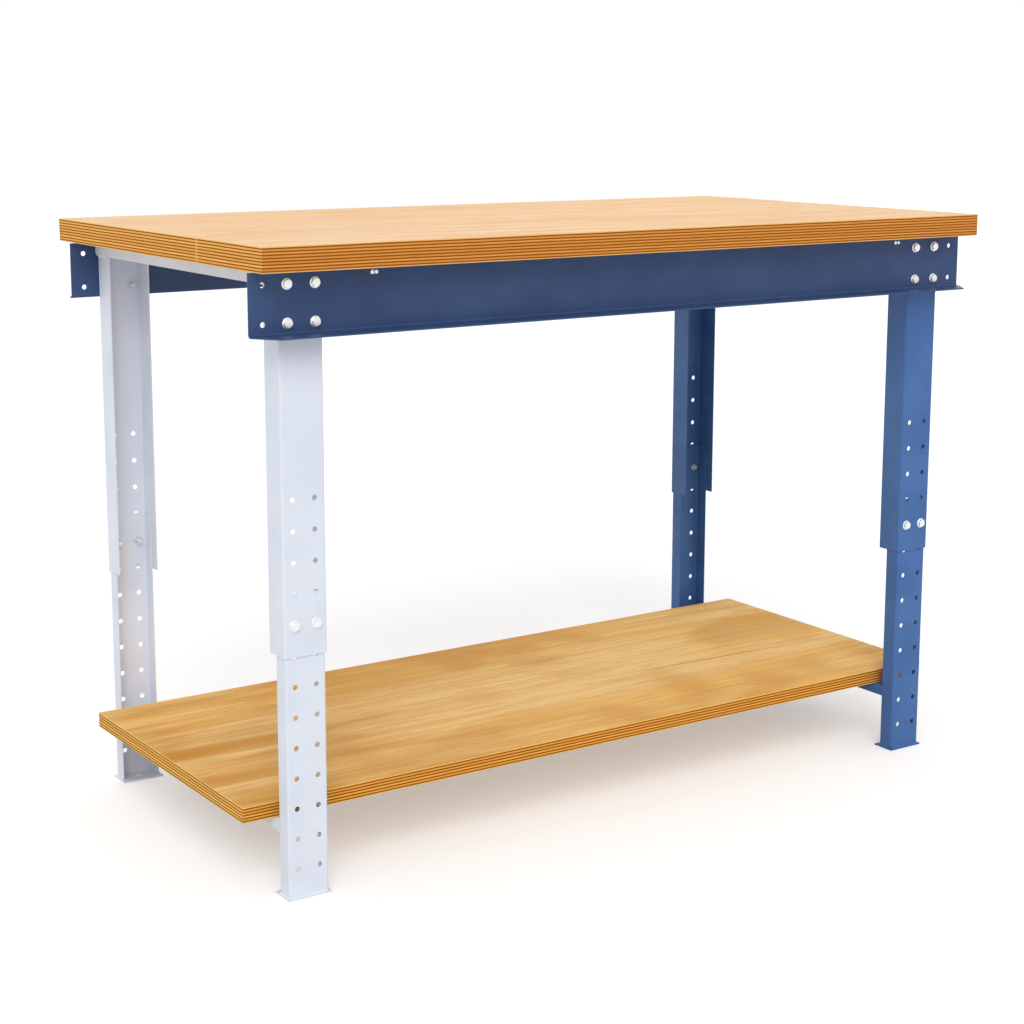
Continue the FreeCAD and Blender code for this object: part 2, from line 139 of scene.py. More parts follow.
# ---- wood screws ---------------------------------------------------------------------------
SCREW_HEAD_RADIUS = 4.6 * MM
SCREW_HEAD_HEIGHT = 3.2 * MM
SCREW_RIM = 0.7 * MM
SCREW_DOME_STEPS = 6
SCREW_RECESS = 3 * MM
SCREW_RECESS_DEPTH = 1.44 * MM
SCREW_LENGTH = 12 * MM
SCREW_SHARE = 0.6             # a wood screw's thickness, as a share of a bolt's
TOP_SCREW_SPACING = 440 * MM
SHELF_SCREW_SPACING = 300 * MM

# ---- clips ---------------------------------------------------------------------------------
CLIP_WIDTH = 22 * MM
CLIP_HEIGHT = 20 * MM
CLIP_REACH = 30 * MM
LUG_SPACING = 7.8 * MM
LUG_RADIUS = 3.2 * MM
LUG_PROUD = 1.3 * MM
LUG_ROUND = 0.7 * MM
LUG_SUNK = 0.5 * MM

# ---- how far each fastener is turned from the one before it, in radians ---------------------
BOLT_SPIN = 0.37
NUT_SPIN = 0.53
SCREW_SPIN = 0.7

# ---- welds ---------------------------------------------------------------------------------
WELD_SIZE = 2.6 * MM
CAP_WELD_SIZE = 3.4 * MM      # wide enough to bridge the rail's step to the leg
WELD_CROWN = 0.8428           # how far a bead's middle stands out, as a share of its size
WELD_ANGLE = math.radians(60)
RIPPLE = 2.2 * MM
RIPPLE_SWELL = 0.09
RIPPLE_STEPS = 4

# ---- boards --------------------------------------------------------------------------------
BOARD_EASE = 1.2 * MM
TOP_PLIES = 17
SHELF_PLIES = 11


# ============================================================================================
# Materials
# ============================================================================================
def colour(red, green, blue):
    """Scene-linear colour of an 8-bit sRGB one."""
    def linear(value):
        value /= 255
        return value / 12.92 if value <= 0.04045 else ((value + 0.055) / 1.055) ** 2.4
    return (linear(red), linear(green), linear(blue), 1)


class Shader:
    """A material and short calls for its nodes."""

    def __init__(self, name):
        self.material = bpy.data.materials.new(name)
        self.material.use_nodes = True
        self.tree = self.material.node_tree
        self.surface = self.tree.nodes["Principled BSDF"]
        self.place = self.tree.nodes.new("ShaderNodeTexCoord")

    def put(self, value, socket):
        if isinstance(value, bpy.types.NodeSocket):
            self.tree.links.new(value, socket)
        else:
            socket.default_value = value

    def scaled(self, x, y, z):
        """Places on the object in the row frame, stretched along each axis."""
        node = self.tree.nodes.new("ShaderNodeVectorMath")
        node.operation = "MULTIPLY"
        self.put(self.place.outputs["Object"], node.inputs[0])
        node.inputs[1].default_value = (x, y, z)
        return node.outputs[0]

    def moved(self, vector, offset):
        node = self.tree.nodes.new("ShaderNodeVectorMath")
        node.operation = "ADD"
        self.put(vector, node.inputs[0])
        self.put(offset, node.inputs[1])
        return node.outputs[0]

    def axis(self, name, source="Object"):
        node = self.tree.nodes.new("ShaderNodeSeparateXYZ")
        self.put(self.place.outputs[source], node.inputs[0])
        return node.outputs[name]

    def noise(self, vector, scale=1.0, detail=2.0, roughness=0.5):
        node = self.tree.nodes.new("ShaderNodeTexNoise")
        self.put(vector, node.inputs["Vector"])
        node.inputs["Scale"].default_value = scale
        node.inputs["Detail"].default_value = detail
        node.inputs["Roughness"].default_value = roughness
        return node.outputs["Fac"]

    def maths(self, operation, first, second=0.0, third=0.0):
        node = self.tree.nodes.new("ShaderNodeMath")
        node.operation = operation
        for value, socket in zip((first, second, third), node.inputs):
            self.put(value, socket)
        return node.outputs[0]

    def apart(self, first, second):
        """How far two values are apart."""
        return self.maths("ABSOLUTE", self.maths("SUBTRACT", first, second))

    def between(self, value, low, high, to_low=0.0, to_high=1.0):
        """value's place from low to high, as a number from to_low to to_high."""
        node = self.tree.nodes.new("ShaderNodeMapRange")
        node.interpolation_type = "SMOOTHSTEP"
        for number, socket in zip((value, low, high, to_low, to_high), node.inputs):
            self.put(number, socket)
        return node.outputs[0]

    def mix(self, factor, first, second):
        node = self.tree.nodes.new("ShaderNodeMix")
        node.data_type = "RGBA"
        self.put(factor, node.inputs["Factor"])
        self.put(first, node.inputs["A"])
        self.put(second, node.inputs["B"])
        return node.outputs["Result"]

    def tinted(self, tone, cover, share, shade_and_stain):
        """tone, with a second colour mixed in to that share where cover is 1. It lays real marks and painted
        shade.
        """
        return self.mix(self.maths("MULTIPLY", cover, share), tone, shade_and_stain)

    def bump(self, height, distance, strength):
        node = self.tree.nodes.new("ShaderNodeBump")
        node.inputs["Strength"].default_value = strength
        node.inputs["Distance"].default_value = distance
        self.put(height, node.inputs["Height"])
        self.put(node.outputs["Normal"], self.surface.inputs["Normal"])

    def set(self, **values):
        for name, value in values.items():
            self.put(value, self.surface.inputs[name.replace("_", " ")])


PAINT_SPECULAR = 0.25
PAINT_RELIEF = 0.12 * MM
ZINC_RELIEF = 0.04 * MM


def paint(name, base, shade, roughness):
    """Powder coat: fine orange peel, a faint mottle and a little unevenness in its gloss."""
    shader = Shader(name)
    cloud = shader.noise(shader.scaled(1, 1, 1), scale=9, detail=3)
    speck = shader.noise(shader.scaled(1, 1, 1), scale=900, detail=2)
    tone = shader.mix(shader.between(cloud, 0.35, 0.65), base, shade)
    tone = shader.mix(shader.between(speck, 0.62, 0.8, 0, 0.5), tone, shade)
    peel = shader.noise(shader.scaled(1, 1, 1), scale=420, detail=1)
    gloss = shader.between(cloud, 0.3, 0.7, roughness - 0.04, roughness + 0.05)
    shader.set(Base_Color=tone, Roughness=gloss, Specular_IOR_Level=PAINT_SPECULAR)
    shader.bump(peel, PAINT_RELIEF, 0.35)
    return shader.material


def zinc(name):
    """Bright zinc plate, faintly clouded and brushed."""
    shader = Shader(name)
    cloud = shader.noise(shader.scaled(1, 1, 1), scale=260, detail=3)
    tone = shader.mix(cloud, colour(226, 228, 232), colour(250, 250, 249))
    shader.set(Base_Color=tone, Metallic=1.0, Roughness=shader.between(cloud, 0.3, 0.7, 0.36, 0.48))
    shader.bump(shader.noise(shader.scaled(1, 1, 1), scale=1500, detail=2), ZINC_RELIEF, 0.3)
    return shader.material


# ---- plywood -------------------------------------------------------------------------------
# Layers of the grain and of painted shade, from broad to fine. Each is a noise: how fine it is along and
# across the grain, its detail and roughness, and the two values of the noise between which the layer comes
# up.
FIGURE = (0.8, 9, 3, 0.55, 0.36, 0.66)
# Bands in the painted shade of a face's darker left part.
LEFT_SHADE_BANDS = (1.3, 10, 3, 0.55, 0.42, 0.62)
# Soft patches of painted shade, standing in for soft shadows cast on the board.
SHADE_PATCHES = (3.4, 4.8, 2, 0.55, 0.46, 0.7)
RIBBON = (1.5, 42, 3, 0.6, 0.42, 0.6)
DASH = (8, 84, 3, 0.6, 0.5, 0.66)
STREAK = (2.4, 120, 4, 0.65, 0.42, 0.66)
FIBRE = (12, 620, 3, 0.7, 0.42, 0.72)
FLECK = (46, 1500, 2, 0.55, 0.62, 0.74)

WOOD_SPECULAR = 0.04
WOOD_RELIEF = 0.12 * MM
LEFT_SHADE_END = 0.4          # painted shade: the darker left part of a face fades out here, as a share of the right half
LEFT_SHADE_LEAST = 0.16       # how dark that painted shade is between its bands
PLY_WOBBLE = 0.12             # how far a ply's edges wander, in plies
OUTER_PLY_CUT = 0.25          # how much thinner each outer ply is than the others, in plies
CRACK_Y = -34 * MM            # the crack in the shelf's veneer, where it would cross the middle
CRACK_SLOPE = -0.05
CRACK_CORE = 0.6 * MM         # half the width of its dark core
CRACK_EDGE = 1.8 * MM         # half its width with its faded edges
CRACK_STRENGTH = 0.9
CRACK_START = (0.1, 0.36)     # where along X it comes up
CRACK_END = (0.45, 0.7)       # where it weakens
CRACK_END_STRENGTH = 0.3
PATCH_Y = -177 * MM           # a pale joint in the worktop's plies, on its left end
PATCH_HALF = 1 * MM
PATCH_STAGGER = 5 * MM


def grain_maker(shader, wander):
    """Returns a function that gives a layer of grain along X, as a cover from 0 to 1."""
    drift = shader.noise(shader.scaled(1.1, 3.0, 1), detail=2)
    offset = shader.tree.nodes.new("ShaderNodeCombineXYZ")
    shader.put(shader.maths("MULTIPLY", shader.maths("SUBTRACT", drift, 0.5), wander), offset.inputs["Y"])
    def grain(along, across, detail, roughness, low, high, least=0.0):
        places = shader.moved(shader.scaled(along, across, across), offset.outputs[0])
        return shader.between(shader.noise(places, 1, detail, roughness), low, high, least)
    return grain


def cracked_tone(shader, tone, shade_and_stain):
    """A hairline crack nearly along the grain. It comes up from the left and weakens to the right."""
    along = shader.axis("X")
    line = shader.maths("MULTIPLY_ADD", along, CRACK_SLOPE, CRACK_Y)
    gap = shader.apart(shader.axis("Y"), line)
    core = shader.between(gap, CRACK_CORE, CRACK_EDGE, CRACK_STRENGTH, 0)
    cover = shader.maths("MULTIPLY", core, shader.between(along, *CRACK_START))
    return shader.tinted(tone, cover, shader.between(along, *CRACK_END, 1, CRACK_END_STRENGTH), shade_and_stain)


def patched_tone(shader, tone, ply, light):
    """A pale joint across the plies of the left end. It reaches differently far in each."""
    reach = shader.maths("MULTIPLY_ADD", shader.maths("FRACT", ply), PATCH_STAGGER, PATCH_HALF)
    patch = shader.maths("LESS_THAN", shader.apart(shader.axis("Y"), PATCH_Y), reach)
    patch = shader.maths("MULTIPLY", patch, shader.maths("LESS_THAN", shader.axis("X"), 0))
    return shader.tinted(tone, patch, 0.5, light)


def face_tone(shader, face, low, high, grain, streak, fibre):
    """Colour of a face: a soft figure, soft patches of painted shade, painted shade at the left end, then
    streaks, fibres and pores along X.
    """
    tone = shader.mix(grain(*FIGURE), face["light"], face["mid"])
    # Painted shade: soft darker patches.
    tone = shader.tinted(tone, grain(*SHADE_PATCHES), face["cloud"], face["shade_and_stain"])
    # Painted shade: the face grows darker towards its left end, in bands.
    left_shade = shader.between(shader.axis("X"), low.x, high.x * LEFT_SHADE_END, 1, 0)
    left_shade = shader.maths("MULTIPLY", left_shade, grain(*LEFT_SHADE_BANDS, LEFT_SHADE_LEAST))
    tone = shader.tinted(tone, left_shade, face["left"], face["shade_and_stain"])
    tone = shader.tinted(tone, grain(*RIBBON), face["ribbon"], face["dark"])
    tone = shader.tinted(tone, grain(*DASH), face["dash"], face["dark"])
    tone = shader.tinted(tone, streak, face["streak"], face["dark"])
    tone = shader.tinted(tone, fibre, face["fibre"], face["dark"])
    return shader.tinted(tone, grain(*FLECK), face["fleck"], face["pore"])


def ply_count(shader, low, high, plies):
    """Plies below a place on an edge. The outer two plies are thinner, and all wander a little."""
    wobble = shader.noise(shader.scaled(7, 7, 30), detail=2)
    rise = shader.maths("SUBTRACT", shader.axis("Z"), low.z)
    ply = shader.maths("MULTIPLY", rise, (plies - 2 * OUTER_PLY_CUT) / (high.z - low.z))
    least, most = OUTER_PLY_CUT - PLY_WOBBLE, OUTER_PLY_CUT + PLY_WOBBLE
    return shader.maths("ADD", ply, shader.between(wobble, 0.2, 0.8, least, most))


def edge_tone(shader, edge, plies, ply, dark_ply):
    """Colour of an edge. Plies lie long-grain and end-grain by turns, and the outer two are light. The ends
    that face X get the plies' colours painted lighter, as painted light, and the long edges darker, as
    painted shade.
    """
    lot = shader.tree.nodes.new("ShaderNodeTexWhiteNoise")
    lot.noise_dimensions = "1D"
    shader.put(shader.maths("FLOOR", ply), lot.inputs["W"])
    cut = shader.noise(shader.scaled(34, 34, 1300), detail=3, roughness=0.7)
    # Painted light and shade: ends that face X get the lit ply colours, and the long edges the shaded ones.
    on_side = shader.maths("GREATER_THAN", shader.maths("ABSOLUTE", shader.axis("X", "Normal")), 0.5)
    light = shader.mix(on_side, edge["shaded_front_light_ply"], edge["lit_side_light_ply"])
    dark = shader.mix(on_side, edge["shaded_front_dark_ply"], edge["lit_side_dark_ply"])
    light = shader.tinted(light, lot.outputs["Value"], edge["lots"], dark)
    outermost = shader.maths("GREATER_THAN", shader.apart(ply, plies / 2), plies / 2 - 1)
    light = shader.tinted(light, outermost, 0.5, edge["outer"])
    return shader.mix(shader.between(cut, 0.5, 0.75, 0, 0.4), shader.mix(dark_ply, light, dark), dark)


def plywood(name, board, plies, face, edge, cracked=False, patched=False):
    """Lacquered plywood. Its faces have grain along X, and its edges show the plies."""
    low, high = board
    shader = Shader(name)
    grain = grain_maker(shader, face["wander"])
    streak, fibre = grain(*STREAK), grain(*FIBRE)
    tone = face_tone(shader, face, low, high, grain, streak, fibre)
    if cracked:
        tone = cracked_tone(shader, tone, face["pore"])
    ply = ply_count(shader, low, high, plies)
    phase = shader.maths("PINGPONG", shader.maths("SUBTRACT", ply, 0.5), 1.0)
    dark_ply = shader.between(phase, edge["from"], edge["to"])
    rim = edge_tone(shader, edge, plies, ply, dark_ply)
    if patched:
        rim = patched_tone(shader, rim, ply, edge["lit_side_light_ply"])
    flat = shader.maths("GREATER_THAN", shader.maths("ABSOLUTE", shader.axis("Z", "Normal")), 0.6)
    shader.set(Base_Color=shader.mix(flat, rim, tone), Specular_IOR_Level=WOOD_SPECULAR)
    shader.set(Roughness=shader.between(streak, 0, 1, face["gloss"], face["gloss"] + 0.1))
    fibre_relief = shader.maths("MULTIPLY", fibre, 0.5)
    ply_relief = shader.maths("MULTIPLY", dark_ply, 0.8)
    shader.bump(shader.maths("ADD", fibre_relief, ply_relief), WOOD_RELIEF, 0.4)
    return shader.material


# In each face, the colour that the cloud and left shares mix in is painted shade: soft shadow patches and a
# darker left end.
TOP_FACE = {
    "light": colour(255, 230, 193), "mid": colour(255, 219, 177), "dark": colour(236, 177, 120),
    "pore": colour(204, 138, 78), "shade_and_stain": colour(224, 160, 100), "cloud": 0.16, "ribbon": 0.28,
    "dash": 0.38, "streak": 0.36, "fibre": 0.3, "fleck": 0.4, "left": 0.1, "wander": 1.4, "gloss": 0.6,
}
# The real ply colours, painted darker on the long edges as painted shade and lighter on the ends as painted
# light.
TOP_EDGE = {
    "shaded_front_light_ply": colour(228, 158, 80), "shaded_front_dark_ply": colour(152, 80, 8),
    "lit_side_light_ply": colour(255, 196, 106), "lit_side_dark_ply": colour(162, 92, 10), "outer": colour(255, 214, 130),
    "lots": 0.28, "from": 0.48, "to": 0.64,
}
# The shelf's cloud and left shares lay heavier painted shade.
SHELF_FACE = {
    "light": colour(255, 224, 158), "mid": colour(255, 211, 128), "dark": colour(222, 150, 68),
    "pore": colour(156, 92, 28), "shade_and_stain": colour(188, 126, 28), "cloud": 0.42, "ribbon": 0.2,
    "dash": 0.26, "streak": 0.4, "fibre": 0.3, "fleck": 0.34, "left": 0.74, "wander": 1.2, "gloss": 0.58,
}
# The real ply colours, painted darker on the long edges as painted shade and lighter on the ends as painted
# light.
SHELF_EDGE = {
    "shaded_front_light_ply": colour(244, 178, 84), "shaded_front_dark_ply": colour(158, 84, 6),
    "lit_side_light_ply": colour(255, 208, 114), "lit_side_dark_ply": colour(156, 88, 6), "outer": colour(255, 218, 130),
    "lots": 0.24, "from": 0.46, "to": 0.62,
}

# The material slots, and the material that each one shows.
PALE = "pale_frame_paint"
BLUE = "blue_frame_paint"
NAVY = "navy_beam_paint"
ZINC = "zinc_plate"
TOP_WOOD = "worktop_plywood"
SHELF_WOOD = "shelf_plywood"
TOP_BOARD = (TOP_LOW, TOP_HIGH)
SHELF_BOARD = (SHELF_LOW, SHELF_HIGH)
MATERIALS = {
    PALE: paint(PALE, colour(227, 233, 244), colour(221, 228, 240), 0.42),
    BLUE: paint(BLUE, colour(72, 112, 171), colour(65, 104, 162), 0.38),
    NAVY: paint(NAVY, colour(57, 81, 125), colour(52, 75, 118), 0.36),
    ZINC: zinc(ZINC),
    TOP_WOOD: plywood(TOP_WOOD, TOP_BOARD, TOP_PLIES, TOP_FACE, TOP_EDGE, patched=True),
    SHELF_WOOD: plywood(SHELF_WOOD, SHELF_BOARD, SHELF_PLIES, SHELF_FACE, SHELF_EDGE, cracked=True),
}
FRAME_PAINT = {LEFT: PALE, RIGHT: BLUE}


# ============================================================================================
# Mesh helpers
# ============================================================================================
HALF_TURN = Matrix.Rotation(math.pi, 4, "Z")
Z_TO_X = Matrix(((0, 0, 1, 0), (1, 0, 0, 0), (0, 1, 0, 0), (0, 0, 0, 1)))  # X goes to Y, and Y to Z


def placed(name, data):
    """A new object in the scene."""
    thing = bpy.data.objects.new(name, data)
    bpy.context.scene.collection.objects.link(thing)
    return thing


def loose_mesh(name, build):
    """A mesh made by a function that fills a bmesh."""
    mesh = bpy.data.meshes.new(name)
    shape = bmesh.new()
    build(shape)
    bmesh.ops.recalc_face_normals(shape, faces=shape.faces)
    shape.to_mesh(mesh)
    shape.free()
    return mesh


def loose_object(name, build):
    """An object whose mesh is made by a function that fills a bmesh."""
    return placed(name, loose_mesh(name, build))


def applied(piece):
    """The piece's mesh with its modifiers applied and no faces without area. The piece is deleted."""
    depsgraph = bpy.context.evaluated_depsgraph_get()
    mesh = bpy.data.meshes.new_from_object(piece.evaluated_get(depsgraph))
    bpy.data.objects.remove(piece)
    shape = bmesh.new()
    shape.from_mesh(mesh)
    bmesh.ops.remove_doubles(shape, verts=shape.verts, dist=MERGED)
    bmesh.ops.dissolve_degenerate(shape, edges=shape.edges, dist=MERGED)
    shape.to_mesh(mesh)
    shape.free()
    return mesh


def combine(piece, other, operation):
    change = piece.modifiers.new(operation.lower(), "BOOLEAN")
    change.operation = operation
    change.solver = "EXACT"
    change.object = other


def combined_mesh(piece, other, operation):
    """The mesh of two pieces combined. Both are deleted."""
    combine(piece, other, operation)
    mesh = applied(piece)
    bpy.data.objects.remove(other)
    return mesh


def smooth(mesh, angle=EDGE_ANGLE):
    mesh.polygons.foreach_set("use_smooth", [True] * len(mesh.polygons))
    mesh.set_sharp_from_angle(angle=angle)
    return mesh


def carved(piece, cutters=(), ease=CUT_EDGE):
    """The piece's mesh, cut by the cutters, with its sharp edges eased and shaded."""
    for cutter in cutters:
        combine(piece, cutter, "DIFFERENCE")
    bevel = piece.modifiers.new("ease", "BEVEL")
    bevel.width = ease
    bevel.segments = 2
    bevel.limit_method = "ANGLE"
    bevel.angle_limit = EDGE_ANGLE
    bevel.miter_outer = "MITER_ARC"
    mesh = applied(piece)
    for cutter in cutters:
        bpy.data.objects.remove(cutter)
    return smooth(mesh)


def turned(mesh, matrix):
    """A copy of a mesh, moved in the row frame."""
    copy = mesh.copy()
    copy.transform(matrix)
    return copy


def joined(meshes, name):
    shape = bmesh.new()
    for mesh in meshes:
        shape.from_mesh(mesh)
    out = bpy.data.meshes.new(name)
    shape.to_mesh(out)
    shape.free()
    return smooth(out)


def piece_of(name, mesh, body, slot, node=None):
    """Puts a finished mesh in the scene, on its body, in the material of its slot."""
    mesh.materials.clear()
    mesh.materials.append(MATERIALS[slot])
    piece = placed(name, mesh)
    weighted = piece.modifiers.new("normals", "WEIGHTED_NORMAL")
    weighted.keep_sharp = True
    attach(piece, body)
    if node:
        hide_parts(node)


def turn_to(direction):
    """Turns +Z to a direction."""
    return Vector((0, 0, 1)).rotation_difference(Vector(direction)).to_matrix().to_4x4()


def cylinder(shape, centre, direction, radius, length, sides=HOLE_SIDES):
    """A closed cylinder centred on a point."""
    bmesh.ops.create_cone(
        shape, cap_ends=True, segments=sides, radius1=radius, radius2=radius, depth=length,
        matrix=Matrix.Translation(centre) @ turn_to(direction),
    )


def extruded(shape, outline, offset):
    """A closed prism from a flat outline."""
    low = [shape.verts.new(p) for p in outline]
    high = [shape.verts.new(Vector(p) + Vector(offset)) for p in outline]
    shape.faces.new(low)
    shape.faces.new(high)
    for i in range(len(outline)):
        j = (i + 1) % len(outline)
        shape.faces.new((low[i], low[j], high[j], high[i]))


def tube(shape, rings):
    """A closed tube through rings that have the same number of points."""
    for low, high in zip(rings, rings[1:]):
        for i in range(len(low)):
            j = (i + 1) % len(low)
            shape.faces.new((low[i], low[j], high[j], high[i]))
    shape.faces.new(rings[0])
    shape.faces.new(rings[-1])


def lathe(shape, profile, sides):
    """Turns a closed profile of (radius, height) round Z. Points at radius 0 become one point."""
    rings = []
    for radius, height in profile:
        count = sides if radius > 0 else 1
        angles = [2 * math.pi * i / count for i in range(count)]
        rings.append([shape.verts.new((radius * math.cos(a), radius * math.sin(a), height)) for a in angles])
    for low, high in zip(rings, rings[1:]):
        for i in range(sides):
            corners = [low[i % len(low)], low[(i + 1) % len(low)]]
            corners += [high[(i + 1) % len(high)], high[i % len(high)]]
            shape.faces.new(list(dict.fromkeys(corners)))


# ---- folded sheet --------------------------------------------------------------------------
def folded_section(path, sheet, bend):
    """Pairs of outer and inner points. The path follows the outer face, and each fold turns left."""
    pairs = []
    radius = bend + sheet
    for i, point in enumerate(path):
        before = (point - path[i - 1]).normalized() if i else (path[1] - point).normalized()
        after = (path[i + 1] - point).normalized() if i + 1 < len(path) else before
        normal = Vector((-before.y, before.x))
        if i in (0, len(path) - 1):
            pairs.append((point, point + normal * sheet))
            continue
        turn = before.angle(after)
        centre = point - before * radius * math.tan(turn / 2) + normal * radius
        for step in range(BEND_STEPS + 1):
            spoke = Matrix.Rotation(turn * step / BEND_STEPS, 2) @ normal
            pairs.append((centre - spoke * radius, centre - spoke * bend))
    return pairs


def folded_bar(name, path, sheet, bend, low, high):
    """A folded sheet drawn out along Z."""
    section = folded_section([Vector(p) for p in path], sheet, bend)
    def build(shape):
        def ring(z):
            return [[shape.verts.new((p.x, p.y, z)) for p in pair] for pair in section]
        bottom, top = ring(low), ring(high)
        for a, b, c, d in zip(bottom, bottom[1:], top, top[1:]):
            shape.faces.new((a[0], b[0], d[0], c[0]))
            shape.faces.new((a[1], c[1], d[1], b[1]))
            shape.faces.new((a[0], a[1], b[1], b[0]))
            shape.faces.new((c[0], d[0], d[1], c[1]))
        for i in (0, -1):
            shape.faces.new((bottom[i][0], bottom[i][1], top[i][1], top[i][0]))
    return loose_object(name, build)


def channel(name, width, depth, low, high):
    """A U channel along Z with its web on y = 0, facing -Y."""
    half = width / 2
    path = [(-half, depth), (-half, 0), (half, 0), (half, depth)]
    return folded_bar(name, path, LEG_SHEET, LEG_BEND, low, high)


# ============================================================================================
# Legs and foot plates
# ============================================================================================
def corner_matrix(side, end, web_y):
    """Moves a front leg piece, made with its web on y = 0, to one of the four legs."""
    turn = HALF_TURN if end == REAR else Matrix()
    return Matrix.Translation((side * LEG_X, end * web_y, 0)) @ turn


def leg_holes(shape, columns, rows):
    for side in (LEFT, RIGHT):
        for z in rows:
            place = (side * columns / 2, LEG_SHEET / 2, z)
            cylinder(shape, place, (0, 1, 0), HOLE_RADIUS, 4 * LEG_SHEET)


def outer_leg_mesh():
    size = LEG_HIGH - LEG_LOW
    leg = channel("outer_leg", size.x, size.y, LEG_LOW.z, LEG_HIGH.z)
    def holes(shape):
        leg_holes(shape, HOLE_COLUMNS, [BOLTED_ROW + i * HOLE_PITCH for i in range(OUTER_ROWS)])
        leg_holes(shape, BEAM_BOLT_COLUMNS, BEAM_BOLT_ROWS)
    return carved(leg, [loose_object("holes", holes)])


def inner_leg_mesh():
    size = INNER_HIGH - INNER_LOW
    leg = channel("inner_leg", size.x, size.y, INNER_LOW.z, INNER_HIGH.z)
    def holes(shape):
        leg_holes(shape, HOLE_COLUMNS, [LOWEST_ROW + i * HOLE_PITCH for i in range(INNER_ROWS)])
    return carved(leg, [loose_object("holes", holes)])


def foot_plate_mesh():
    """Its origin is under the leg's web, as the leg's is."""
    half = (PLATE_HIGH.x - PLATE_LOW.x) / 2
    thick = PLATE_HIGH.z
    front = PLATE_LOW.y + INNER_WEB_Y
    back = PLATE_HIGH.y + INNER_WEB_Y
    corners = [(-half, front, 0), (half, front, 0), (half, back, 0), (-half, back, 0)]
    plate = loose_object("plate", lambda shape: extruded(shape, corners, (0, 0, thick)))
    def hole(shape):
        cylinder(shape, (0, front + ANCHOR_SETBACK, thick / 2), (0, 0, 1), ANCHOR_RADIUS, 4 * thick)
    return carved(plate, [loose_object("hole", hole)], PLATE_EDGE)


# ============================================================================================
# Welds
# ============================================================================================
def straight_weld(start, stop, first, second, size=WELD_SIZE):
    """A rippled fillet bead. first and second point along its two legs."""
    start, stop, first, second = Vector(start), Vector(stop), Vector(first), Vector(second)
    length = (stop - start).length
    steps = max(RIPPLE_STEPS, round(length / RIPPLE * RIPPLE_STEPS))
    crown = (first + second).normalized() * WELD_CROWN
    def build(shape):
        rings = []
        for i in range(steps + 1):
            point = start.lerp(stop, i / steps)
            swell = 1 + RIPPLE_SWELL * math.cos(2 * math.pi * length * i / steps / RIPPLE)
            offsets = (Vector((0, 0, 0)), first, crown, second)
            rings.append([shape.verts.new(point + offset * size * swell) for offset in offsets])
        tube(shape, rings)
    return smooth(loose_mesh("weld", build), WELD_ANGLE)


def foot_weld_mesh():
    """Beads round the outside of the inner leg, where it stands on its plate."""
    half = (INNER_HIGH.x - INNER_LOW.x) / 2
    depth = INNER_HIGH.y - INNER_LOW.y
    corner = LEG_BEND + LEG_SHEET
    z = PLATE_HIGH.z
    beads = [straight_weld((-half + corner, 0, z), (half - corner, 0, z), (0, -1, 0), (0, 0, 1))]
    for side in (LEFT, RIGHT):
        x = side * half
        beads.append(straight_weld((x, corner, z), (x, depth, z), (side, 0, 0), (0, 0, 1)))
    return joined(beads, "foot_weld")


def rail_weld_mesh():
    """Beads where a bottom rail meets the front leg's web, at x = 0."""
    half = (RAIL_HIGH.x - RAIL_LOW.x) / 2
    y = -INNER_WEB_Y + LEG_SHEET
    low, high = RAIL_LOW.z, RAIL_HIGH.z - LEG_BEND
    beads = []
    for side in (LEFT, RIGHT):
        x = side * half
        beads.append(straight_weld((x, y, low), (x, y, high), (side, 0, 0), (0, 1, 0)))
    return joined(beads, "rail_weld")


def cap_weld_mesh():
    """Beads along the lower edges of a top rail's sides, on the front outer leg, at x = 0."""
    half = (LEG_HIGH.x - LEG_LOW.x) / 2
    z = CAP_LOW.z
    start = -OUTER_WEB_Y + 3 * CAP_CORNER / 2
    stop = -OUTER_WEB_Y + (LEG_HIGH.y - LEG_LOW.y) - CAP_CORNER
    beads = []
    for side in (LEFT, RIGHT):
        x = side * half
        beads.append(straight_weld((x, start, z), (x, stop, z), (side, 0, 0), (0, 0, -1), CAP_WELD_SIZE))
    return joined(beads, "cap_weld")


# ============================================================================================
# Rails, beams and boards
# ============================================================================================
def rail_bar(name, low, high):
    """An inverted channel along Y at x = 0, with its web at the top."""
    bar = channel(name, high.x - low.x, high.z - low.z, -high.y, high.y)
    turn = Matrix.Rotation(-math.pi / 2, 4, "X")
    bar.data.transform(Matrix.Translation((0, 0, high.z)) @ turn)
    return bar


def screw_holes(spacing, z):
    def build(shape):
        for end in (FRONT, REAR):
            cylinder(shape, (0, end * spacing / 2, z), (0, 0, 1), SCREW_HOLE_RADIUS, 8 * LEG_SHEET, sides=20)
    return loose_object("holes", build)


def bottom_rail_mesh():
    bar = rail_bar("bottom_rail", RAIL_LOW, RAIL_HIGH)
    return carved(bar, [screw_holes(SHELF_SCREW_SPACING, RAIL_HIGH.z)])


